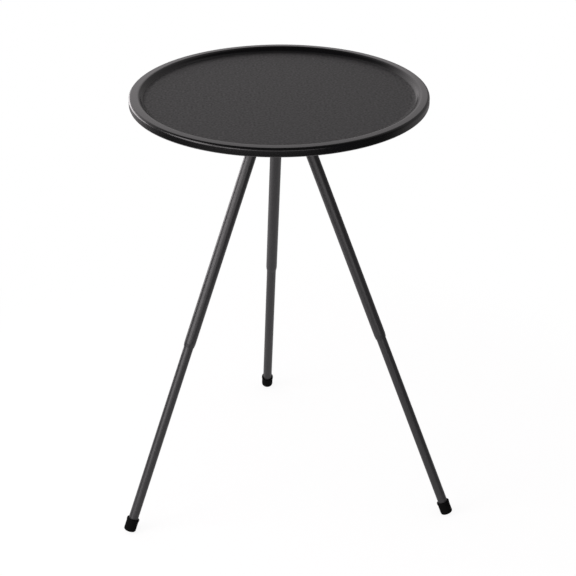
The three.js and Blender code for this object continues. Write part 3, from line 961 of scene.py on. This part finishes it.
class MakeSocketInserts(bpy.types.Operator):
    """Turn the brass inserts of the hub's sockets, with grip grooves and an inner thread"""
    bl_idname = "side_table.make_socket_inserts"
    bl_label = "Socket Inserts"

    def execute(self, context):
        settings = context.scene.side_table
        size = settings.fasteners
        low, high, radius = leg_reach("socket_insert")
        stud_low, _, stud_radius = leg_reach("leg_stud")
        third = (high - low) / 3
        waist = radius - INSERT_GROOVE
        insert = spin("insert", [
            (0, low), (radius, low, size.edge / 2), (radius, low + third, INSERT_GROOVE_EDGE),
            (waist, low + third + INSERT_GROOVE), (waist, low + 2 * third - INSERT_GROOVE),
            (radius, low + 2 * third, INSERT_GROOVE_EDGE), (radius, high, size.edge / 2),
            (0, high),
        ], size.facets)
        bore = thread(
            "bore", stud_radius + size.thread_gap, size.leg_pitch,
            stud_low, high + size.leg_pitch, size.facets,
        )
        combine(insert, bore, "DIFFERENCE")
        brass = finish(turned_brass, settings.colours.brass)
        hand_over_legs(insert, "socket_insert", "grooved", "table", brass)
        return {"FINISHED"}


class MakeLegTops(bpy.types.Operator):
    """Thread the leg studs, punch the washers and turn the top plugs of the upper tubes"""
    bl_idname = "side_table.make_leg_tops"
    bl_label = "Leg Studs, Washers and Top Plugs"

    def execute(self, context):
        settings = context.scene.side_table
        size = settings.fasteners
        low, high, radius = leg_reach("leg_stud")
        stud = threaded_bar(
            "leg_stud", radius, size.leg_pitch, low, high, size.edge, size.facets
        )
        zinc = finish(zinc_plated_steel, settings.colours.zinc)
        hand_over_legs(stud, "leg_stud", "threaded", "{side}_upper_leg", zinc)

        low, high, radius = leg_reach("washer")
        bore = settings.plug.hole_radius
        washer = spin("washer", [
            (radius, low, WASHER_EDGE), (radius, high, WASHER_EDGE),
            (bore, high, WASHER_BORE_EDGE), (bore, low, WASHER_BORE_EDGE),
        ], size.facets * 2, closed=True)
        acetal = finish(moulded_acetal, settings.colours.acetal)
        hand_over_legs(washer, "washer", "punched", "{side}_washer", acetal)

        plug = settings.plug
        low, high, radius = leg_reach("top_plug")
        shoulder = high - plug.shoulder
        middle = (high + shoulder) / 2
        top_plug = spin("top_plug", [
            (0, low), (plug.spigot_radius, low, plug.edge),
            (plug.spigot_radius, shoulder), (radius, shoulder, plug.edge / 2),
            (radius, middle - plug.groove), (radius - plug.groove, middle),
            (radius, middle + plug.groove), (radius, high, plug.edge / 2),
            (plug.hole_radius, high, PLUG_HOLE_EDGE), (plug.hole_radius, high - plug.hole_depth),
            (0, high - plug.hole_depth),
        ], settings.tubes.facets)
        aluminium = finish(turned_aluminium, settings.colours.aluminium)
        hand_over_legs(
            top_plug, "top_plug", "turned", "{side}_upper_leg", aluminium
        )
        return {"FINISHED"}


class MakeTubes(bpy.types.Operator):
    """Spin the upper tubes, with their drawn-in necks, and the lower tubes that slide in them"""
    bl_idname = "side_table.make_tubes"
    bl_label = "Leg Tubes"

    def execute(self, context):
        settings = context.scene.side_table
        size = settings.tubes
        coat = finish(satin_powder_coat, settings.colours.leg_coat)
        low, high, radius = leg_reach("upper_tube")
        lower_low, lower_high, lower_radius = leg_reach("lower_tube")
        bore = radius - size.upper_wall
        neck_bore = lower_radius + size.slide_gap
        upper = spin("upper_tube", [
            (neck_bore + size.neck_wall, low, size.edge),
            (neck_bore + size.neck_wall, low + size.edge),
            (radius, low + size.neck, NECK_BEND),
            (radius, high, size.edge),
            (bore, high, size.edge),
            (bore, low + size.neck),
            (neck_bore, low + size.neck_land),
            (neck_bore, low),
        ], size.facets, closed=True)
        hand_over_legs(upper, "upper_tube", "swaged", "{side}_upper_leg", coat)
        bore = lower_radius - size.lower_wall
        lower = spin("lower_tube", [
            (lower_radius, lower_low, size.edge), (lower_radius, lower_high, size.edge),
            (bore, lower_high, size.edge), (bore, lower_low, size.edge),
        ], size.facets, closed=True)
        hand_over_legs(lower, "lower_tube", "drawn", "{side}_lower_leg", coat)
        return {"FINISHED"}


class MakeLocks(bpy.types.Operator):
    """Model the split sleeve, wedge nut, threaded rod and tube plug of each twist lock"""
    bl_idname = "side_table.make_locks"
    bl_label = "Twist Locks"

    def execute(self, context):
        settings = context.scene.side_table
        size = settings.lock
        nylon = finish(moulded_nylon, settings.colours.nylon)
        acetal = finish(moulded_acetal, settings.colours.acetal)
        zinc = finish(zinc_plated_steel, settings.colours.zinc)

        low, high, radius = leg_reach("lock_sleeve")
        cone_end = high - size.cone_depth
        sleeve = spin("sleeve", [
            (radius, low, size.edge), (radius, high, size.edge), (size.cone_wide, high),
            (size.cone_narrow, cone_end), (size.rod_hole, cone_end), (size.rod_hole, low),
        ], size.facets, closed=True)
        for turn in (0, math.pi / 2):
            slot = begin(
                "slot", bpy.ops.mesh.primitive_cube_add, size=1,
                scale=(3 * radius, size.slot, 2 * size.slot_depth), location=(0, 0, high),
                rotation=(0, 0, turn),
            )
            combine(sleeve, slot, "DIFFERENCE")
        hand_over_legs(sleeve, "lock_sleeve", "split", "{side}_lock", acetal)

        low, high, _ = leg_reach("lock_wedge")
        wedge = spin("wedge", [
            (size.wedge_narrow, low, size.edge / 3), (size.wedge_wide, high, size.edge / 2),
            (size.rod_hole, high), (size.rod_hole, low),
        ], size.facets, closed=True)
        hand_over_legs(wedge, "lock_wedge", "moulded", "{side}_wedge", nylon)

        low, high, radius = leg_reach("lock_rod")
        rod = threaded_bar(
            "lock_rod", radius, settings.fasteners.rod_pitch, low, high,
            settings.fasteners.edge, settings.fasteners.facets,
        )
        hand_over_legs(rod, "lock_rod", "threaded", "{side}_lower_leg", zinc)

        low, high, radius = leg_reach("tube_plug")
        head = high - size.plug_head
        plug = spin("tube_plug", [
            (0, low), (size.plug_shank, low, size.edge), (size.plug_shank, head),
            (radius, head, size.edge / 2), (radius, high, size.edge), (size.rod_hole, high),
            (size.rod_hole, high - size.rod_hole_depth), (0, high - size.rod_hole_depth),
        ], size.facets)
        hand_over_legs(plug, "tube_plug", "moulded", "{side}_lower_leg", nylon)
        return {"FINISHED"}


class MakeFeet(bpy.types.Operator):
    """Spin the rubber feet, round their lips and soles, and press their heels flat on the floor"""
    bl_idname = "side_table.make_feet"
    bl_label = "Feet"

    def execute(self, context):
        settings = context.scene.side_table
        size = settings.foot
        place = leg_place("left")
        low, high, lip_radius = leg_reach("foot")
        lip_step = lip_radius - size.radius
        pocket = high - size.pocket_depth
        foot = spin("foot", [
            (0, low),
            (size.radius, low, size.sole_edge),
            (size.radius, high - size.lip_height - lip_step, size.lip_edge),
            (lip_radius, high - size.lip_height, size.lip_edge / 2),
            (lip_radius, high - lip_step, size.lip_edge / 2),
            (size.radius, high, size.lip_edge / 3),
            (size.pocket_radius, high),
            (size.pocket_radius, pocket),
            (0, pocket),
        ], size.facets, steps=size.bend_facets)
        floor = place.inverted()
        with editing(foot):
            bpy.ops.mesh.select_all(action="SELECT")
            bpy.ops.mesh.bisect(
                plane_co=floor @ Vector((0, 0, TOUCH)), plane_no=floor.to_3x3() @ Vector((0, 0, 1)),
                use_fill=True, clear_inner=True, threshold=TOUCH / 2,
            )
        rubber = finish(moulded_rubber, settings.colours.rubber)
        hand_over_legs(foot, "foot", "moulded", "{side}_lower_leg", rubber)
        return {"FINISHED"}


class MakeStage(bpy.types.Operator):
    """Lay the pale floor, hang the soft lamps and set the camera at the photograph's angle"""
    bl_idname = "side_table.make_stage"
    bl_label = "Stage"

    def execute(self, context):
        stage = context.scene.side_table.stage
        self.add_floor(stage)
        self.add_world(context.scene, stage)
        for name in LAMPS:
            self.add_lamp(name, getattr(stage, name), stage.light)
        self.add_camera(context.scene, stage)
        context.scene.view_settings.view_transform = "Standard"
        return {"FINISHED"}

    def add_floor(self, stage):
        floor = begin(
            "floor", bpy.ops.mesh.primitive_circle_add, vertices=128, radius=FLOOR_RADIUS,
            fill_type="NGON", location=(0, 0, -FLOOR_GAP),
        )
        material = bpy.data.materials.new("pale_studio_floor")
        material.use_nodes = True
        tree = material.node_tree
        tree.nodes.clear()
        # Seen directly, the floor glows up to white and keeps the table's shadow. In a gloss its
        # glow is faint, and fainter still in front of the table. Towards its edge the glow takes
        # over, so the floor ends unseen.
        place = add(tree, "ShaderNodeTexCoord").outputs["Object"]
        away = add(tree, "ShaderNodeVectorMath", {0: place}, operation="LENGTH")
        fade = add(tree, "ShaderNodeMapRange", {
            "Value": away.outputs["Value"], "From Min": 0.55 * FLOOR_RADIUS,
            "From Max": 0.95 * FLOOR_RADIUS, "To Min": 0.88, "To Max": 1,
        }, interpolation_type="SMOOTHSTEP")
        rays = add(tree, "ShaderNodeLightPath")
        axes = add(tree, "ShaderNodeSeparateXYZ", {"Vector": place})
        behind = add(tree, "ShaderNodeMapRange", {
            "Value": axes.outputs["Y"], "From Min": -0.4, "From Max": 0.2, "To Min": 0.05,
            "To Max": 0.2,
        })
        gloss = add(tree, "ShaderNodeMath", {
            0: rays.outputs["Is Glossy Ray"], 1: behind.outputs["Result"],
        }, operation="MULTIPLY")
        through = add(tree, "ShaderNodeMath", {
            0: gloss.outputs["Value"], 1: rays.outputs["Is Transmission Ray"],
        }, operation="MAXIMUM")
        seen = add(tree, "ShaderNodeMath", {
            0: rays.outputs["Is Camera Ray"], 1: through.outputs["Value"],
        }, operation="MAXIMUM")
        share = add(tree, "ShaderNodeMath", {
            0: seen.outputs["Value"], 1: fade.outputs["Result"],
        }, operation="MULTIPLY")
        # Painted shade: in a gloss the lit floor's colour is darkened, most at the right, standing in for the
        # shade that black cards beside it would cast.
        painted_card_shade = add(tree, "ShaderNodeMapRange", {
            "Value": axes.outputs["X"], "From Min": -0.7, "From Max": -0.2, "To Min": 0.9,
            "To Max": 0.44,
        })
        gloss_shaded_floor = add(tree, "ShaderNodeMix", {
            0: rays.outputs["Is Glossy Ray"], 2: 1, 3: painted_card_shade.outputs["Result"],
        }, data_type="FLOAT")
        # The floor's diffuse colour carries this painted shade in a gloss only.
        matt = add(tree, "ShaderNodeBsdfDiffuse", {"Color": gloss_shaded_floor.outputs[0]})
        glow = add(tree, "ShaderNodeEmission", {"Color": (*stage.sweep, 1), "Strength": 1})
        both = add(tree, "ShaderNodeMixShader", {
            0: share.outputs["Value"], 1: matt.outputs["BSDF"], 2: glow.outputs["Emission"],
        })
        # From underneath, the floor is clear, so that the table's underside can be looked at.
        clear = add(tree, "ShaderNodeBsdfTransparent")
        one_sided = add(tree, "ShaderNodeMixShader", {
            0: add(tree, "ShaderNodeNewGeometry").outputs["Backfacing"],
            1: both.outputs["Shader"], 2: clear.outputs["BSDF"],
        })
        add(tree, "ShaderNodeOutputMaterial", {"Surface": one_sided.outputs["Shader"]})
        floor.data.materials.append(material)

    def add_world(self, scene, stage):
        """White for the rays that show the background, a shaped studio in a gloss and an even,
        dimmer light else."""
        world = bpy.data.worlds.new("studio")
        scene.world = world
        world.use_nodes = True
        tree = world.node_tree
        tree.nodes.clear()
        rays = add(tree, "ShaderNodeLightPath")
        gloss = add(tree, "ShaderNodeMath", {
            0: rays.outputs["Is Glossy Ray"], 1: rays.outputs["Is Transmission Ray"],
        }, operation="MAXIMUM")
        # In a gloss the lit sweep shows behind the table, and at the left it reaches further down.
        # Beyond the floor it is faint, and at the right stands a wall with a third of its light.
        direction = add(tree, "ShaderNodeTexCoord").outputs["Generated"]
        axes = add(tree, "ShaderNodeSeparateXYZ", {"Vector": direction})

        def fading(name, share=None):
            """A fade by its name, within what another fade leaves lit."""
            axis, dark, lit, brightness = FADES[name]
            end = add(tree, "ShaderNodeMapRange", {
                "Value": axes.outputs[axis], "From Min": dark, "From Max": lit,
                "To Max": brightness,
            }, interpolation_type="SMOOTHSTEP", label=name).outputs["Result"]
            if share is None:
                return end
            return add(tree, "ShaderNodeMath", {0: share, 1: end}, operation="MULTIPLY").outputs[0]

        def brighter(one, other):
            return add(tree, "ShaderNodeMath", {0: one, 1: other}, operation="MAXIMUM").outputs[0]

        behind = fading("behind")
        foot = brighter(fading("foot"), fading("foot at the left", fading("left side")))
        sweep = fading("top", fading("right end", behind))
        sweep = add(tree, "ShaderNodeMath", {0: sweep, 1: foot}, operation="MULTIPLY").outputs[0]
        low = brighter(fading("floor beyond", behind), fading("floor at the left", behind))
        wall = fading("wall at the right", fading("front end"))
        in_gloss = add(tree, "ShaderNodeMapRange", {
            "Value": brighter(brighter(sweep, low), wall),
            "To Min": stage.dark, "To Max": stage.sweep_gloss,
        })
        studio = add(tree, "ShaderNodeMix", {
            0: gloss.outputs["Value"], 2: stage.surround, 3: in_gloss.outputs["Result"],
        }, data_type="FLOAT")
        strength = add(tree, "ShaderNodeMath", {
            0: rays.outputs["Is Camera Ray"], 1: studio.outputs[0],
        }, operation="MAXIMUM")
        tint = add(tree, "ShaderNodeMix", {
            0: rays.outputs["Is Camera Ray"], 6: (*stage.light, 1), 7: (*stage.sweep, 1),
        }, data_type="RGBA")
        background = add(tree, "ShaderNodeBackground", {
            "Color": tint.outputs[2], "Strength": strength.outputs["Value"],
        })
        add(tree, "ShaderNodeOutputWorld", {"Surface": background.outputs["Background"]})

    def add_lamp(self, name, radiance, light):
        """Hang a soft lamp at its place in LAMPS and turn it to the table."""
        turn, rise, away, width, height = LAMPS[name]
        turn, rise = math.radians(turn), math.radians(rise)
        towards = Vector((
            math.sin(turn) * math.cos(rise), -math.cos(turn) * math.cos(rise), math.sin(rise),
        ))
        lamp = bpy.data.lights.new(f"lamp_{name}", "AREA")
        lamp.shape = "RECTANGLE"
        lamp.size, lamp.size_y = width, height
        lamp.energy = radiance * math.pi * width * height
        lamp.color = light
        holder = bpy.data.objects.new(f"lamp_{name}", lamp)
        bpy.context.scene.collection.objects.link(holder)
        holder.location = Vector(LAMPS_LOOK_AT) + away * towards
        holder.rotation_euler = (-towards).to_track_quat("-Z", "Y").to_euler()

    def add_camera(self, scene, stage):
        """Set the camera where the photograph was taken from."""
        yaw, pitch, roll = CAMERA_TURN
        right = Vector((math.cos(yaw), math.sin(yaw), 0))
        ahead = Vector((
            -math.sin(yaw) * math.cos(pitch), math.cos(yaw) * math.cos(pitch), -math.sin(pitch),
        ))
        up = right.cross(ahead)
        turned = Matrix((
            math.cos(roll) * right + math.sin(roll) * up,
            math.cos(roll) * up - math.sin(roll) * right,
            -ahead,
        )).transposed()
        data = bpy.data.cameras.new("camera")
        data.sensor_width = SENSOR_WIDTH_MM
        data.lens = stage.lens
        data.clip_end = 50
        camera = bpy.data.objects.new("camera", data)
        scene.collection.objects.link(camera)
        camera.matrix_world = Matrix.Translation(CAMERA_PLACE) @ turned.to_4x4()
        scene.camera = camera


OPERATORS = (
    MakeTray, MakeHub, MakeFixings, MakeSocketInserts, MakeLegTops, MakeTubes, MakeLocks, MakeFeet,
    MakeStage,
)


class SideTablePanel(bpy.types.Panel):
    """Lists the pieces and their sizes in the sidebar"""
    bl_idname = "VIEW3D_PT_side_table"
    bl_label = "Side Table"
    bl_space_type = "VIEW_3D"
    bl_region_type = "UI"
    bl_category = "Side Table"

    def draw(self, context):
        for operator in OPERATORS:
            self.layout.operator(operator.bl_idname, text=operator.bl_label)
        for name, group in GROUPS.items():
            box = self.layout.box()
            box.label(text=name.title())
            for setting in group.__annotations__:
                box.prop(getattr(context.scene.side_table, name), setting)


CLASSES = (*GROUPS.values(), TableSettings, *OPERATORS, SideTablePanel)


def register():
    for item in CLASSES:
        bpy.utils.register_class(item)
    bpy.types.Scene.side_table = bpy.props.PointerProperty(type=TableSettings)


def unregister():
    del bpy.types.Scene.side_table
    for item in reversed(CLASSES):
        bpy.utils.unregister_class(item)


def main():
    register()
    for operator in OPERATORS:
        module, name = operator.bl_idname.split(".")
        getattr(getattr(bpy.ops, module), name)()


if __name__ == "__main__":
    main()
